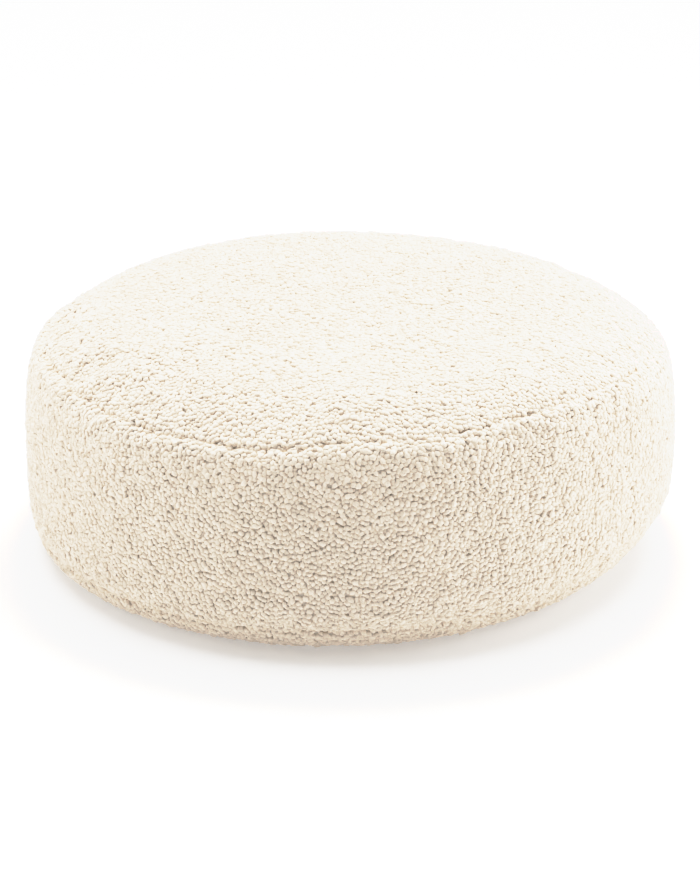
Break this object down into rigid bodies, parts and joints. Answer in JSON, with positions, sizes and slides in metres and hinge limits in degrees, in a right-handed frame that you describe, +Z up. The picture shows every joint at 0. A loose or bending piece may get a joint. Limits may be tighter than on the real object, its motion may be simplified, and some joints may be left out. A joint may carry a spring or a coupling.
{
  "type": "round pouf ottoman",
  "caption": "Low round filled ottoman in curly pile cloth: a pillowed top panel, a wide side band and a base with its rim turned up, sewn at two drawn-in seams.",
  "frame": {"origin": "centre of the underside, on the surface that the ottoman rests on", "axes": "+Z up; the side that the picture shows in front faces -Y; +X to the right seen from the front"},
  "size_m": [0.7978, 0.7998, 0.3021],
  "materials": {
    "curly_pile": "warm cream polyester pile in tight curls about 9 mm across, matt with a soft sheen, darker and warmer between the curls"
  },
  "bodies": {
    "root": {"top_panel": "curly_pile", "side_band": "curly_pile", "base_panel": "curly_pile"}
  },
  "joints": []
}
